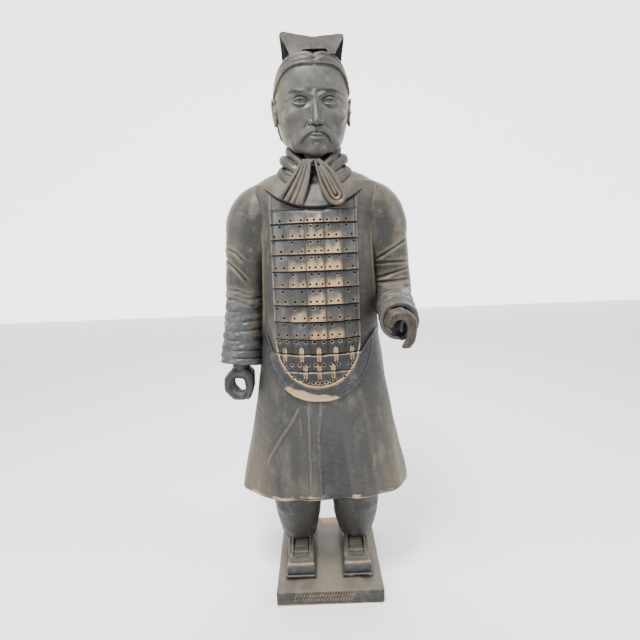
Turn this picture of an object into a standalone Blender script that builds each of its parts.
# Terracotta warrior statue on a low plinth. The statue faces -Y and its right hand is on the -X side.
# The origin is at the middle of the plinth's underside. Named sizes are in metres.
#
# Free forms, such as the body, the drapery and the face, are set out in parts: FIGURE_PARTS of them
# make the height of the figure, counted up from the top of the plinth. At the real size a part is 1 mm.
import math

import bmesh
import bpy
import numpy as np

# Plinth
PLINTH_WIDTH = 0.350
PLINTH_DEPTH = 0.430
PLINTH_HEIGHT = 0.050
PLINTH_EDGE = 0.005
INSCRIPTION_DEPTH = 0.0025
INSCRIPTION_STROKE = 0.0028

# Figure and the fits between the pieces
FIGURE_HEIGHT = 1.767
FIGURE_PARTS = 1767
SEAT_GAP = 0.0003
PLUG_CLEARANCE = 0.002

# Neck plug of the head, and the scarf rolls round it
NECK_RADIUS = 0.048
NECK_PLUG_DEPTH = 0.060
ROLL_RADIUS = 0.016
ROLL_WALL = 0.006

# Hem of the skirt, and the cuffs that the wrists go into
HEM_WALL = 0.022
HEM_RECESS = 0.070
CUFF_WALL = 0.013
CUFF_ROOM = 0.022
CUFF_RECESS = 0.030
WRIST_RADIUS = 0.027
WRIST_PLUG_DEPTH = 0.030

# Open grip of the right hand, and blind grip of the left
RIGHT_GRIP_WIDTH = 0.038
RIGHT_GRIP_HEIGHT = 0.048
LEFT_GRIP_WIDTH = 0.040
LEFT_GRIP_HEIGHT = 0.050
LEFT_GRIP_DEPTH = 0.062
RIGHT_FINGER = 0.031
LEFT_FINGER = 0.020

# Armour
PLATE_STEP = 0.0055
PLATE_EDGE = 0.0015
PANEL_RISE = 0.004
APRON_RISE = 0.008

PART = FIGURE_HEIGHT / FIGURE_PARTS
GROUND = PLINTH_HEIGHT + SEAT_GAP
SUNK = 22.0                  # parts that a relief reaches into the clay behind it
FRONT_SIDES = 22              # stations across the front of the body, and round the rest of it
BACK_SIDES = 16
NECK_Y = 5.0

# Body outline: height, half width, front depth, back depth
BODY = [
    (262, 285, 188, 186),
    (310, 281, 185, 184),
    (421, 259, 173, 171),
    (568, 231, 162, 158),
    (675, 212, 156, 149),
    (750, 203, 154, 142),
    (830, 192, 152, 137),
    (950, 188, 147, 132),
    (1085, 186, 140, 127),
    (1180, 190, 131, 121),
    (1240, 203, 119, 112),
    (1285, 207, 103, 99),
    (1306, 182, 94, 91),
    (1326, 150, 85, 84),
    (1350, 90, 72, 76),
]
BODY_CORNER = 2.35           # exponent of the body's rounded section
SHOULDER_TOP = 1350

# Folds of the skirt at the hem: angle seen from above (90 is the front), width, rise
FOLDS = [
    (131, 10, 9), (115, 7, 12), (105, 5, -6), (97, 6, 9), (84, 7, -12), (69, 9, 8), (54, 7, -6), (38, 9, 6),
    (146, 8, -7), (162, 10, 6), (20, 10, -5), (-15, 11, 6), (-40, 11, -6), (-64, 11, 7), (-90, 10, -9),
    (-116, 11, 7), (-140, 11, -6), (-165, 11, 6),
]
FOLD_TOP = 625
HEM_RAISE = 26

# Rows of plates, from the neckline down, and the edges of the columns
ROWS = [1205, 1167, 1123, 1073, 1023, 975, 923, 871, 820, 768, 718, 668]
TURNED_ROWS = 3              # the lowest rows lap upwards
BACK_ROW_JOIN = 2            # rows of the front that stand as one deeper row on the back
COLUMNS = [-145, -88, -33, 23, 73, 119]
PANEL_MIDDLE = -13
NECKLINE = 1211
NECKLINE_CURVE = 0.0027
APRON_TOP = 835
APRON_BOTTOM = 625
APRON_WIDTH = 176
INNER_BOTTOM = 664
PANEL_ROUND = 2.3            # exponent of the panel's rounded lower end


def clear_scene():
    for old in list(bpy.data.objects):
        bpy.data.objects.remove(old, do_unlink=True)


def collection(name):
    made = bpy.data.collections.new(name)
    bpy.context.scene.collection.children.link(made)
    return made


def material(name, colour, roughness):
    made = bpy.data.materials.new(name)
    made.use_nodes = True
    shader = made.node_tree.nodes["Principled BSDF"]
    shader.inputs["Base Color"].default_value = (*colour, 1.0)
    shader.inputs["Roughness"].default_value = roughness
    shader.inputs["Metallic"].default_value = 0.0
    return made


def real(points):
    """Places in parts, as places in metres above the plinth."""
    return np.asarray(points, float) * PART + np.array([0.0, 0.0, GROUND])


def mesh_object(name, points, faces, home, helper=False):
    mesh = bpy.data.meshes.new(name)
    mesh.from_pydata([tuple(p) for p in points], [], faces)
    work = bmesh.new()
    work.from_mesh(mesh)
    bmesh.ops.recalc_face_normals(work, faces=work.faces)
    if work.calc_volume(signed=True) < 0:
        bmesh.ops.reverse_faces(work, faces=work.faces)
    work.to_mesh(mesh)
    work.free()
    made = bpy.data.objects.new(name, mesh)
    home.objects.link(made)
    if helper:
        made.hide_render = True
        made.display_type = "WIRE"
    return made


def ring_solid(name, rings, home, helper=True):
    """A closed loft through rings of equal count, with its two ends capped."""
    count = len(rings[0])
    points = np.concatenate([np.asarray(ring, float) for ring in rings])
    faces = []
    for row in range(len(rings) - 1):
        for i in range(count):
            j = (i + 1) % count
            low, high = row * count, (row + 1) * count
            faces.append((low + i, low + j, high + j, high + i))
    last = (len(rings) - 1) * count
    faces.append(tuple(range(count)))
    faces.append(tuple(last + i for i in range(count)))
    return mesh_object(name, real(points), faces, home, helper)


def slab(name, front, back, home, helper=True):
    """A closed solid between two grids of points with equal rows and columns."""
    front = np.asarray(front, float)
    back = np.asarray(back, float)
    rows, columns = front.shape[:2]
    points = np.concatenate([front.reshape(-1, 3), back.reshape(-1, 3)])
    under = rows * columns
    faces = []
    for r in range(rows - 1):
        for c in range(columns - 1):
            a, b = r * columns + c, r * columns + c + 1
            d, e = a + columns, b + columns
            faces.append((a, b, e, d))
            faces.append((under + a, under + d, under + e, under + b))
    rim = [c for c in range(columns)]
    rim += [r * columns + columns - 1 for r in range(1, rows)]
    rim += [(rows - 1) * columns + c for c in range(columns - 2, -1, -1)]
    rim += [r * columns for r in range(rows - 2, 0, -1)]
    for a, b in zip(rim, rim[1:] + rim[:1]):
        faces.append((a, under + a, under + b, b))
    return mesh_object(name, real(points), faces, home, helper)


def swept(path, sides, start=(0.0, 1.0, 0.0), turned=0.0):
    """Rings round a path of (x, y, z, half width across, half width up), carried along without twist."""
    path = np.asarray(path, float)
    middle = path[:, :3]
    across = np.array(start, float)
    rings = []
    for i, here in enumerate(middle):
        along = middle[min(i + 1, len(middle) - 1)] - middle[max(i - 1, 0)]
        if np.linalg.norm(along) < 1e-9:
            along = middle[i] - middle[i - 2]
        along = along / np.linalg.norm(along)
        across = across - along * across.dot(along)
        across = across / np.linalg.norm(across)
        up = np.cross(along, across)
        angle = np.linspace(0, 2 * math.pi, sides, endpoint=False) + turned
        ring = here + np.outer(np.cos(angle) * path[i, 3], across) + np.outer(np.sin(angle) * path[i, 4], up)
        rings.append(ring)
    return rings


def smooth(value, low, high):
    t = np.clip((value - low) / (high - low), 0.0, 1.0)
    return t * t * (3 - 2 * t)


def bump(value, width):
    return np.exp(-((value / width) ** 2))


def section(z):
    """Half width, front depth and back depth of the body at a height."""
    table = np.array(BODY, float)
    return [np.interp(z, table[:, 0], table[:, k]) for k in (1, 2, 3)]


def body_front(x, z):
    """Where the front of the body lies, as a negative y."""
    half, front, _ = section(z)
    across = np.clip(np.abs(x) / half, 0.0, 0.995)
    return -front * (1 - across**BODY_CORNER) ** (1 / BODY_CORNER)


def body_back(x, z):
    half, _, back = section(z)
    across = np.clip(np.abs(x) / half, 0.0, 0.995)
    return back * (1 - across**BODY_CORNER) ** (1 / BODY_CORNER)


def fold_rise(angle, z):
    """How far the drapery stands out, from nothing at the waist to its full depth at the hem."""
    degrees = np.degrees(angle)
    rise = 0.0
    for centre, width, height in FOLDS:
        off = (degrees - centre + 180) % 360 - 180
        rise = rise + height * bump(off, width)
    return rise * smooth(FOLD_TOP - z, 0, FOLD_TOP - BODY[0][0])


def body_angles():
    """Stations round the body, closer together across the front, where the folds are."""
    front = np.radians(np.linspace(15, 165, FRONT_SIDES))
    back = np.radians(np.linspace(165, 375, BACK_SIDES + 2)[1:-1])
    return np.concatenate([front, back])


def body_ring(z, inset=0.0, lift=0.0):
    angle = body_angles()
    half, front, back = section(z)
    cos, sin = np.cos(angle), np.sin(angle)
    power = 2 / BODY_CORNER
    depth = np.where(sin > 0, front, back)
    x = half * np.sign(cos) * np.abs(cos) ** power
    y = -depth * np.sign(sin) * np.abs(sin) ** power
    reach = np.hypot(x, y)
    grow = (reach + fold_rise(angle, z) - inset) / reach
    raised = HEM_RAISE * np.clip(sin, 0, 1) ** 1.5 * smooth(450 - z, 0, 450 - BODY[0][0])
    return np.stack([x * grow, y * grow, np.full_like(x, z + lift) + raised], axis=1)


def make_body(home):
    hem = BODY[0][0]
    wall = HEM_WALL / PART
    inside = body_ring(hem, wall)
    ceiling = inside + np.array([0.0, 0.0, HEM_RECESS / PART])
    heights = [hem, hem + 16, 330, 395, 460, 530, 625, 700, 760, 830, 950, 1085, 1180, 1240, 1285, 1306, 1326]
    heights.append(SHOULDER_TOP)
    rings = [ceiling, inside] + [body_ring(z) for z in heights]
    return ring_solid("body", rings, home)


def panel_edge(z):
    """Half width of the plate panel: straight above, then narrowing to a round end."""
    straight = (COLUMNS[-1] - COLUMNS[0]) / 2
    low = np.clip((ROWS[8] - z) / (ROWS[8] - INNER_BOTTOM), 0, 0.985)
    return straight * math.sqrt(1 - low**PANEL_ROUND)


def plate_rise(row, at_top):
    """Rise of a plate's own top or bottom edge: each plate's free edge lies over its neighbour."""
    step = PLATE_STEP / PART
    base = PANEL_RISE / PART
    turned = row >= len(ROWS) - 1 - TURNED_ROWS
    return base + (step if at_top == turned else 0.0)


def make_panel(home, facing):
    """The panel of lapped plates on the front, or the plainer one on the back."""
    edge = PLATE_EDGE / PART
    side = np.array(COLUMNS, float)
    surface = body_front if facing < 0 else body_back
    lines = []
    top = NECKLINE + NECKLINE_CURVE * side**2 if facing < 0 else np.full_like(side, NECKLINE + 30.0)
    lines.append((top, side, PANEL_RISE / PART + 2))
    lines.append((np.full_like(side, ROWS[0] + edge), side, PANEL_RISE / PART + 1))
    each = 1 if facing < 0 else BACK_ROW_JOIN
    for row in range(0, len(ROWS) - 1, each):
        lower = min(row + each, len(ROWS) - 1)
        for at_top, z in ((True, ROWS[row] - edge), (False, ROWS[lower] + edge)):
            narrow = panel_edge(z) / panel_edge(ROWS[0])
            x = PANEL_MIDDLE + (side - PANEL_MIDDLE) * narrow
            lines.append((np.full_like(side, z), x, plate_rise(row, at_top)))
    front, back = [], []
    for z, x, rise in lines:
        y = np.array([surface(a, b) for a, b in zip(x, z)])
        front.append(np.stack([x, y + facing * rise, z], axis=1))
        back.append(np.stack([x, y - facing * SUNK, z], axis=1))
    return slab("front_panel" if facing < 0 else "back_panel", front, back, home)


def make_apron(home):
    """The smooth band round the lower rows, from one hip to the other."""
    rise = APRON_RISE / PART
    front, back = [], []
    for t in np.linspace(0, math.pi, 17):
        pair = []
        outer = (-APRON_WIDTH * math.cos(t), APRON_TOP - (APRON_TOP - APRON_BOTTOM) * math.sin(t))
        depth = (ROWS[8] - INNER_BOTTOM) * math.sin(t) ** (2 / PANEL_ROUND)
        inner = (PANEL_MIDDLE - (panel_edge(ROWS[0]) - 1) * math.cos(t), ROWS[8] - depth)
        for share, height in ((0.0, rise), (1.0, rise + 1)):
            x = outer[0] + (inner[0] - outer[0]) * share
            z = outer[1] + (inner[1] - outer[1]) * share
            pair.append((x, float(body_front(x, z)), z, height))
        front.append([(x, y - height, z) for x, y, z, height in pair])
        back.append([(x, y + SUNK, z) for x, y, z, height in pair])
    return slab("apron", front, back, home)


# Arms: x, y, z and radius of the sleeve's middle line, from inside the shoulder to the cuff
RIGHT_ARM = [
    (-128, 5, 1230, 66), (-166, 5, 1219, 85), (-192, 5, 1196, 92), (-209, 5, 1158, 90), (-224, 5, 1095, 79),
    (-236, 4, 1035, 69), (-246, 2, 985, 64),
]
RIGHT_FOREARM = [(-249, 0, 962, 61), (-254, -4, 890, 62), (-262, -12, 810, 64), (-271, -28, 722, 66)]
RIGHT_ROLLS = 6
LEFT_ARM = [
    (128, 5, 1230, 66), (166, 5, 1219, 85), (191, 5, 1196, 92), (207, 5, 1158, 90), (221, 6, 1095, 79),
    (234, 12, 1035, 70), (241, 14, 978, 68), (243, -4, 935, 67),
]
LEFT_FOREARM = [(240, -50, 908, 64), (234, -110, 894, 62), (228, -170, 885, 61), (221, -232, 876, 61)]
LEFT_ROLLS = 5
CUFF_RADIUS = WRIST_RADIUS + CUFF_ROOM + CUFF_WALL


def along_points(points, count):
    """Evenly spaced stations on a line of (x, y, z, radius) points."""
    points = np.asarray(points, float)
    steps = np.linalg.norm(np.diff(points[:, :3], axis=0), axis=1)
    run = np.concatenate([[0.0], np.cumsum(steps)])
    wanted = np.linspace(0, run[-1], count)
    return np.stack([np.interp(wanted, run, points[:, k]) for k in range(4)], axis=1)


def cuff_end(forearm):
    """The cuff's centre and the direction in which the wrist leaves it."""
    last, before = np.array(forearm[-1][:3], float), np.array(forearm[-2][:3], float)
    out = (last - before) / np.linalg.norm(last - before)
    return last, out


def make_sleeve(name, arm, forearm, rolls, home):
    stations = [tuple(p) for p in arm]
    rolled = along_points(forearm, 2 * rolls + 1)
    for i, (x, y, z, radius) in enumerate(rolled):
        stations.append((x, y, z, radius * (0.93 if i % 2 == 0 else 1.03)))
    path = [(x, y, z, min(r, 80), r) for x, y, z, r in stations]
    last, out = cuff_end(forearm)
    rim = CUFF_RADIUS / PART
    path[-1] = (*last, rim * 0.98, rim * 0.98)
    path.append((*(last + out * 8), rim, rim))
    rings = swept(path, 14)
    lip = (CUFF_RADIUS - CUFF_WALL) / CUFF_RADIUS
    centre = rings[-1].mean(axis=0)
    inner = centre + (rings[-1] - centre) * lip
    rings += [inner, inner - out * (CUFF_RECESS / PART)]
    return ring_solid(name, rings, home)


def wrist_socket(name, forearm, home):
    last, out = cuff_end(forearm)
    floor = last + out * (8 - CUFF_RECESS / PART)
    radius = (WRIST_RADIUS + PLUG_CLEARANCE) / PART
    deep = floor - out * ((WRIST_PLUG_DEPTH + PLUG_CLEARANCE) / PART)
    path = [(*deep, radius, radius), (*(floor + out * 2), radius, radius)]
    return ring_solid(name, swept(path, 14), home)


def make_collar(home):
    """Three rolls of scarf that drop to a point at the throat."""
    sides = 18
    angle = np.linspace(0, 2 * math.pi, sides, endpoint=False)
    front = np.clip(np.sin(angle), 0, 1) ** 2
    tube = ROLL_RADIUS / PART
    core = (NECK_RADIUS + PLUG_CLEARANCE + ROLL_WALL) / PART
    rolls = [(core + 42, 1343, 40), (core + 36, 1377, 58), (core + tube - 2, 1407, 70)]
    rings = []
    for k, (radius, height, drop) in enumerate(rolls):
        for turn in (-62, 0, 62):
            out = radius + tube * 1.15 * math.cos(math.radians(turn))
            up = height + tube * math.sin(math.radians(turn))
            z = up - drop * front
            rings.append(np.stack([out * np.cos(angle), NECK_Y - out * np.sin(angle), z], axis=1))
    z = np.full_like(angle, 1300.0)
    first = np.stack([(core + 25) * np.cos(angle), NECK_Y - (core + 25) * np.sin(angle) * 0.8, z], axis=1)
    top = rings[-1].copy()
    top[:, 0] *= core / (core + tube)
    top[:, 1] = NECK_Y + (top[:, 1] - NECK_Y) * core / (core + tube)
    top[:, 2] += 3
    return ring_solid("collar", [first] + rings + [top], home)


def neck_socket(home):
    radius = (NECK_RADIUS + PLUG_CLEARANCE) / PART
    path = [(0, NECK_Y, neck_floor() - PLUG_CLEARANCE / PART, radius, radius), (0, NECK_Y, 1480, radius, radius)]
    return ring_solid("neck_socket", swept(path, 18), home)


def neck_floor():
    return SHOULDER_TOP - NECK_PLUG_DEPTH / PART


def make_tail(name, spine, widths, pleats, home, lift):
    """A pleated end of the scarf that lies on the chest, from the tie down."""
    columns = 2 * pleats + 1
    front, back = [], []
    for (x, y, z), (left, right) in zip(spine, widths):
        row, under = [], []
        for c in range(columns):
            across = left + (right - left) * c / (columns - 1)
            ridge = 4.5 if c % 2 else 0.0
            rounded = lift * (1 - 0.35 * abs(2 * c / (columns - 1) - 1) ** 2)
            row.append((x + across, y - rounded - ridge, z))
            under.append((x + across, y + SUNK, z))
        front.append(row)
        back.append(under)
    return slab(name, front, back, home)


def make_scarf(home):
    left_spine = [(-6, -93, 1352), (-22, -110, 1328), (-42, -121, 1296), (-62, -127, 1262), (-80, -130, 1233)]
    left_widths = [(-9, 8), (-16, 12), (-24, 16), (-26, 22), (-27, 25)]
    right_spine = [(9, -93, 1350), (20, -110, 1326), (36, -121, 1292), (52, -127, 1258), (60, -130, 1232), (61, -132, 1216)]
    right_widths = [(-8, 9), (-12, 14), (-19, 20), (-26, 28), (-26, 27), (-13, 14)]
    left = make_tail("scarf_left", left_spine, left_widths, 4, home, 12)
    right = make_tail("scarf_right", right_spine, right_widths, 3, home, 12)
    return [left, right]


# Legs and shoes
LEG_X = 101
TROUSER = [
    (70, 46, 46), (82, 57, 58), (98, 62, 64), (125, 70, 74), (160, 78, 82), (200, 81, 86), (260, 80, 84), (355, 76, 80),
]
# Shoe from toe to heel: y, half width, top, base
SHOE = [
    (-153, 42, 40, 4), (-143, 45, 47, 0), (-124, 45, 42, 0), (-110, 46, 47, 0), (-98, 46, 56, 0),
    (-40, 49, 82, 0), (30, 50, 88, 0), (138, 46, 70, 0), (150, 40, 62, 0),
]
SOLE_LIP = 4


def make_leg(name, side, home):
    rings = []
    for z, half, deep in TROUSER:
        angle = np.linspace(0, 2 * math.pi, 10, endpoint=False)
        lean = (z - 70) * 0.012
        x = side * (LEG_X + lean) + half * np.cos(angle)
        rings.append(np.stack([x, 4 - deep * np.sin(angle), np.full_like(angle, z)], axis=1))
    return ring_solid(name, rings, home)


def make_shoe(name, side, home):
    middle = side * 95
    rings = []
    for y, half, top, base in SHOE:
        lip = half + SOLE_LIP
        edge = [(-lip, base), (-lip, base + 8), (-half, base + 10), (-half, top - 9), (-half + 10, top)]
        edge += [(half - 10, top), (half, top - 9), (half, base + 10), (lip, base + 8), (lip, base)]
        rings.append([(middle + x, y, z) for x, z in edge])
    return ring_solid(name, rings, home)


def strap(name, side, home):
    """Edge of the vest where it laps over the sleeve head."""
    front, back = [], []
    for z, x in ((1296, 186), (1268, 200), (1226, 194), (1160, 187), (1060, 183), (960, 184), (870, 188)):
        row, under = [], []
        for inward, rise in ((16, 5), (6, 7), (0, 6)):
            place = side * (x - inward)
            depth = float(body_front(place, z))
            row.append((place, depth - rise, z))
            under.append((place, depth + SUNK, z))
        front.append(row)
        back.append(under)
    return slab(name, front, back, home)


def make_figure(home, clay, cutters):
    figure = make_body(clay)
    home.objects.link(figure)
    clay.objects.unlink(figure)
    figure.name = "figure"
    figure.hide_render = False
    figure.display_type = "TEXTURED"
    make_panel(clay, -1)
    make_panel(clay, 1)
    make_apron(clay)
    make_collar(clay)
    make_scarf(clay)
    make_sleeve("right_sleeve", RIGHT_ARM, RIGHT_FOREARM, RIGHT_ROLLS, clay)
    make_sleeve("left_sleeve", LEFT_ARM, LEFT_FOREARM, LEFT_ROLLS, clay)
    for side, name in ((-1, "right"), (1, "left")):
        make_leg(name + "_leg", side, clay)
        make_shoe(name + "_shoe", side, clay)
        strap(name + "_armhole", side, clay)
    wrist_socket("right_socket", RIGHT_FOREARM, cutters)
    wrist_socket("left_socket", LEFT_FOREARM, cutters)
    neck_socket(cutters)
    combine(figure, "UNION", clay)
    combine(figure, "DIFFERENCE", cutters)
    return figure


def combine(target, operation, group):
    modifier = target.modifiers.new(operation.lower(), "BOOLEAN")
    modifier.operation = operation
    modifier.operand_type = "COLLECTION"
    modifier.collection = group
    modifier.solver = "EXACT"
    return modifier


# Head: height, half width, front depth and back depth. The face is a general one, set out by the usual
# thirds: hairline to brow, brow to nose, nose to chin, with the eyes half way up the whole head.
CHIN = 1366
CROWN = 1694
HAIRLINE = 1633
THIRD = (HAIRLINE - CHIN) / 3
BROW = HAIRLINE - THIRD
NOSE_BASE = BROW - THIRD
EYES = (CHIN + 1686) / 2
MOUTH = NOSE_BASE - THIRD / 3
EYE_WIDTH = 46
HEAD = [
    (1366, 56, 82, 44), (1380, 72, 89, 56), (1405, 86, 94, 72), (1440, 98, 96, 92), (1490, 110, 97, 106),
    (1550, 117, 98, 116), (1600, 117, 98, 118), (1640, 111, 93, 110), (1662, 100, 83, 96), (1680, 78, 64, 74),
    (1690, 50, 42, 48), (1694, 18, 16, 18),
]
FACE_SIDES = 25
NAPE_SIDES = 13


def head_reach(angle, z):
    """Distance of the bare head from the neck's axis."""
    table = np.array(HEAD, float)
    half, front, back = (np.interp(z, table[:, 0], table[:, k]) for k in (1, 2, 3))
    cos, sin = np.cos(angle), np.sin(angle)
    depth = np.where(sin > 0, front, back)
    power = 2.25
    return (np.abs(cos / half) ** power + np.abs(sin / depth) ** power) ** (-1 / power)


def face_relief(x, z):
    """How far the features stand out of the front of the head."""
    side = np.abs(x)
    down = np.clip((BROW - 8 - z) / (BROW - 8 - NOSE_BASE - 8), 0, 1)
    nose = (5 + 24 * down) * bump(x, 8 + 7 * down) * smooth(z, NOSE_BASE - 6, NOSE_BASE + 8)
    nose = nose * smooth(BROW + 14 - z, 0, 16)
    wings = 9 * bump(side - 17, 9) * bump(z - NOSE_BASE - 10, 11)
    socket = -9 * bump(side - EYE_WIDTH, 27) * bump(z - EYES, 15)
    ball = 7 * bump(side - EYE_WIDTH, 16) * bump(z - EYES + 1, 9)
    arch = BROW + 6 - ((side - 52) / 26) ** 2 * 7
    brow = 6 * bump(z - arch, 7) * smooth(side, 10, 22) * smooth(92 - side, 0, 20)
    cheek = 6 * bump(side - 58, 26) * bump(z - NOSE_BASE - 16, 26)
    lips = 6 * bump(x, 30) * (bump(z - MOUTH - 6, 6) + bump(z - MOUTH + 8, 7)) - 3 * bump(x, 32) * bump(z - MOUTH, 3)
    line = NOSE_BASE - 6 - (side / 52) ** 1.7 * 42
    beard = 7 * bump(z - line, 6) * smooth(66 - side, 0, 10) * smooth(side, 1, 8)
    tuft = 5 * bump(x, 8) * bump(z - MOUTH + 24, 9)
    chin = 7 * bump(x, 30) * bump(z - CHIN - 16, 17)
    return nose + wings + socket + ball + brow + cheek + lips + beard + tuft + chin


def hair_line(angle):
    """Height of the hair's edge: across the forehead, down in front of the ears, low at the nape."""
    front = np.sin(angle)
    return np.where(front > 0.30, HAIRLINE - 56 * (1 - (front - 0.30) / 0.70) ** 2.2, 1430.0)


def hair_rise(angle, z):
    rise = 9 * smooth(z, hair_line(angle) - 3, hair_line(angle) + 3)
    return rise - 6 * bump(np.cos(angle) * 90, 7) * smooth(z, HAIRLINE - 4, HAIRLINE + 6) * (np.sin(angle) > 0)


def head_angles():
    """More stations across the face than round the back."""
    face = np.radians(np.linspace(28, 152, FACE_SIDES))
    back = np.radians(np.linspace(152, 388, NAPE_SIDES + 2)[1:-1])
    return np.concatenate([face, back])


def jaw_line(angle):
    return 1430 - (1430 - CHIN) * np.clip(np.sin(angle), 0, 1) ** 2


def head_ring(angle, z):
    reach = head_reach(angle, z)
    x = reach * np.cos(angle)
    facing = smooth(np.sin(angle), 0.25, 0.55)
    reach = reach + face_relief(x, z) * facing * smooth(hair_line(angle) - z, -4, 4) + hair_rise(angle, z)
    ear = 10 * bump(reach * np.sin(angle) + 2, 17) * bump(z - EYES + 12, 34)
    reach = reach + ear
    return np.stack([reach * np.cos(angle), NECK_Y - reach * np.sin(angle), z], axis=1)


def make_head(home, clay):
    angle = head_angles()
    neck = NECK_RADIUS / PART
    foot = jaw_line(angle) + 9
    plug_x, plug_y = neck * np.cos(angle), NECK_Y - neck * np.sin(angle)
    rings = [np.stack([plug_x, plug_y, np.full_like(angle, neck_floor())], axis=1)]
    rings.append(np.stack([plug_x, plug_y, foot], axis=1))
    under = head_ring(angle, jaw_line(angle) + 5)
    middle = np.array([0.0, NECK_Y, 0.0])
    under[:, :2] = middle[:2] + (under[:, :2] - middle[:2]) * 0.93
    under[:, 2] = jaw_line(angle) + 1
    rings.append(under)
    shares = [0.03, 0.10, 0.155, 0.185, 0.21, 0.25, 0.285, 0.32, 0.38, 0.43, 0.465, 0.495, 0.525]
    shares += [0.555, 0.60, 0.68, 0.76, 0.81, 0.835, 0.88, 0.92, 0.96, 0.99, 1.0]
    for share in shares:
        start = jaw_line(angle)
        rings.append(head_ring(angle, start + (CROWN - start) * share))
    head = ring_solid("head", rings, home, helper=False)
    make_cap(clay)
    combine(head, "UNION", clay)
    return head


def make_cap(clay):
    """A folded board: a front plate that leans back and a rear plate that meets it along the top."""
    top_left, notch, top_right = (-91, 22, 1765), (14, 24, 1742), (110, 22, 1749)
    foot_front = [(-62, -66, 1668), (7, -72, 1672), (76, -66, 1668)]
    foot_rear = [(-86, 40, 1676), (5, 46, 1680), (92, 40, 1676)]
    tops = [top_left, notch, top_right]
    thick = 11
    front_face = [[(x, y, z) for x, y, z in foot_front], [(x, y - thick, z) for x, y, z in tops]]
    front_back = [[(x, y + thick, z - 4) for x, y, z in foot_front], [(x, y + 1, z - 3) for x, y, z in tops]]
    slab("cap_front", front_face, front_back, clay)
    rear_face = [[(x, y, z) for x, y, z in foot_rear], [(x, y - thick + 2, z - 1) for x, y, z in tops]]
    rear_back = [[(x, y + thick, z - 4) for x, y, z in foot_rear], [(x, y + thick - 2, z - 2) for x, y, z in tops]]
    slab("cap_rear", rear_face, rear_back, clay)
    bun = [(0, 0, 1672, 42, 40), (0, 2, 1700, 38, 46), (2, 10, 1726, 26, 44)]
    ring_solid("bun", swept(bun, 12), clay)
    braid = [(0, 112, 1480, 24, 8), (0, 124, 1540, 26, 9), (0, 126, 1600, 26, 9), (0, 112, 1650, 24, 9), (0, 80, 1684, 20, 8)]
    ring_solid("braid", swept(braid, 10, start=(1.0, 0.0, 0.0)), clay)


def finger_tube(middle, half_wide, half_high, length, sides=14):
    """Four fingers side by side along Y, curled round the grip."""
    rings = []
    angle = np.linspace(0, 2 * math.pi, sides, endpoint=False)
    stations = [(0.0, 0.90)]
    for k in range(4):
        stations += [((k + 0.25) / 4, 1.0), ((k + 0.75) / 4, 1.0)]
        if k < 3:
            stations.append(((k + 1) / 4, 0.90))
    stations.append((1.0, 0.90))
    for share, scale in stations:
        y = middle[1] - length / 2 + length * share
        x = middle[0] + half_wide * scale * np.cos(angle)
        z = middle[2] + half_high * scale * np.sin(angle)
        rings.append(np.stack([x, np.full_like(angle, y), z], axis=1))
    return rings


def make_right_hand(home, clay, cutters):
    last, out = cuff_end(RIGHT_FOREARM)
    wide = RIGHT_GRIP_WIDTH / 2 / PART
    high = RIGHT_GRIP_HEIGHT / 2 / PART
    finger = RIGHT_FINGER / PART
    middle = last + out * 8 + np.array([-6.0, 0.0, -64.0])
    length = 76
    hand = ring_solid("right_hand", finger_tube(middle, wide + finger, high + finger, length), home, False)
    plug_end = last + out * (8 - (CUFF_RECESS + WRIST_PLUG_DEPTH) / PART)
    radius = WRIST_RADIUS / PART
    wrist = [
        (*plug_end, radius, radius), (*(last + out * 2), radius, radius),
        (*(middle + (4, 0, high + finger + 4)), radius + 4, radius + 2),
        (*(middle + (3, 0, high + finger * 0.45)), radius + 4, radius + 6),
    ]
    ring_solid("right_wrist", swept(wrist, 14), clay)
    thumb_x = middle[0] + wide + finger * 0.62
    thumb = [
        (thumb_x, middle[1] - 30, middle[2] + high + 10, 12, 9), (thumb_x + 6, middle[1] - 34, middle[2] + 6, 12, 10),
        (thumb_x + 4, middle[1] - 33, middle[2] - high, 11, 9), (thumb_x - 4, middle[1] - 30, middle[2] - high - 18, 7, 6),
    ]
    ring_solid("right_thumb", swept(thumb, 8), clay)
    bore = [(middle[0], middle[1] - length, middle[2], high, wide), (middle[0], middle[1] + length, middle[2], high, wide)]
    ring_solid("right_grip", swept(bore, 16, start=(0.0, 0.0, 1.0)), cutters)
    combine(hand, "UNION", clay)
    combine(hand, "DIFFERENCE", cutters)
    return hand


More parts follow.
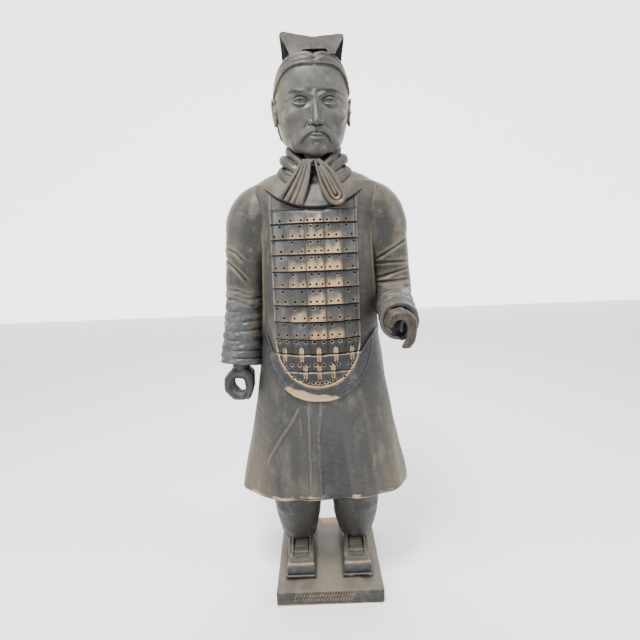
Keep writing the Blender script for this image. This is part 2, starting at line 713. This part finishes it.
def make_left_hand(home, clay, cutters):
    last, out = cuff_end(LEFT_FOREARM)
    wide = LEFT_GRIP_WIDTH / 2 / PART
    high = LEFT_GRIP_HEIGHT / 2 / PART
    finger = LEFT_FINGER / PART
    middle = last + out * 62 + np.array([-4.0, 0.0, 4.0])
    length = 78
    hand = ring_solid("left_hand", finger_tube(middle, wide + finger, high + finger, length), home, False)
    plug_end = last + out * (8 - (CUFF_RECESS + WRIST_PLUG_DEPTH) / PART)
    radius = WRIST_RADIUS / PART
    wrist = [
        (*plug_end, radius, radius), (*(last + out * 2), radius, radius),
        (*(last + out * 24), radius + 3, radius + 2), (*(last + out * 40), radius + 9, radius + 9),
    ]
    ring_solid("left_wrist", swept(wrist, 14), clay)
    face = middle[1] - length / 2
    deep = LEFT_GRIP_DEPTH / PART
    bore = [(middle[0], face - 10, middle[2], high, wide), (middle[0], face + deep, middle[2], high * 0.8, wide * 0.8)]
    ring_solid("left_grip", swept(bore, 16, start=(0.0, 0.0, 1.0)), cutters)
    reach = 0.8 * deep + 10
    across = face - 10 + reach / 2
    square = reach / 2 / math.cos(math.pi / 4)
    slot = [
        (middle[0] - 4, across, middle[2] - 8, square, 20),
        (middle[0] - wide - finger - 10, across, middle[2] - high - finger - 6, square, 34),
    ]
    ring_solid("left_opening", swept(slot, 4, start=(0.0, 1.0, 0.0), turned=math.pi / 4), cutters)
    combine(hand, "UNION", clay)
    combine(hand, "DIFFERENCE", cutters)
    return hand


def make_plinth(home, cutters):
    bpy.ops.mesh.primitive_cube_add(size=1.0)
    plinth = bpy.context.object
    plinth.name = "plinth"
    for user in list(plinth.users_collection):
        user.objects.unlink(plinth)
    home.objects.link(plinth)
    plinth.scale = (PLINTH_WIDTH, PLINTH_DEPTH, PLINTH_HEIGHT)
    plinth.location = (0.0, 0.0, PLINTH_HEIGHT / 2)
    bpy.ops.object.transform_apply(location=True, rotation=False, scale=True)
    edge = plinth.modifiers.new("edge", "BEVEL")
    edge.width = PLINTH_EDGE
    edge.segments = 1
    inscription(cutters)
    combine(plinth, "DIFFERENCE", cutters)
    return plinth


def inscription(cutters):
    """Seven groups of shallow strokes on the front, in the place of an inscription. None is a letter."""
    group = PLINTH_HEIGHT * 0.46
    start = -3.1 * group
    middle = PLINTH_HEIGHT * 0.52
    for k in range(7):
        x = start + k * group * 1.16
        tall = k % 3
        for place in (x - group * 0.2, x + group * 0.25):
            stroke("upright", cutters, place, middle, INSCRIPTION_STROKE, group * (0.85 - 0.15 * tall))
        if k % 2 == 0:
            stroke("level", cutters, x, middle + group * 0.62, group * 0.7, INSCRIPTION_STROKE)


def stroke(name, cutters, x, z, wide, high):
    front = -PLINTH_DEPTH / 2
    reach = 0.01
    points = []
    for sx in (-0.5, 0.5):
        for y in (front - reach, front + INSCRIPTION_DEPTH):
            for sz in (-0.5, 0.5):
                points.append((x + sx * wide, y, z + sz * high))
    faces = [(0, 1, 3, 2), (4, 6, 7, 5), (0, 4, 5, 1), (2, 3, 7, 6), (0, 2, 6, 4), (1, 5, 7, 3)]
    mesh_object(name, points, faces, cutters, helper=True)


def main():
    clear_scene()
    home = collection("terracotta_warrior")
    slip = material("dark_slip", (0.085, 0.090, 0.092), 0.62)
    hair = material("head_slip", (0.105, 0.108, 0.108), 0.60)
    dark = material("right_hand_slip", (0.060, 0.060, 0.062), 0.58)
    brown = material("left_hand_clay", (0.150, 0.125, 0.095), 0.68)
    base = material("plinth_slip", (0.120, 0.115, 0.105), 0.75)
    pieces = [
        (make_figure(home, collection("figure_clay"), collection("figure_cutters")), slip),
        (make_head(home, collection("head_clay")), hair),
        (make_right_hand(home, collection("right_clay"), collection("right_cutters")), dark),
        (make_left_hand(home, collection("left_clay"), collection("left_cutters")), brown),
        (make_plinth(home, collection("plinth_cutters")), base),
    ]
    for piece, finish in pieces:
        piece.data.materials.append(finish)


main()
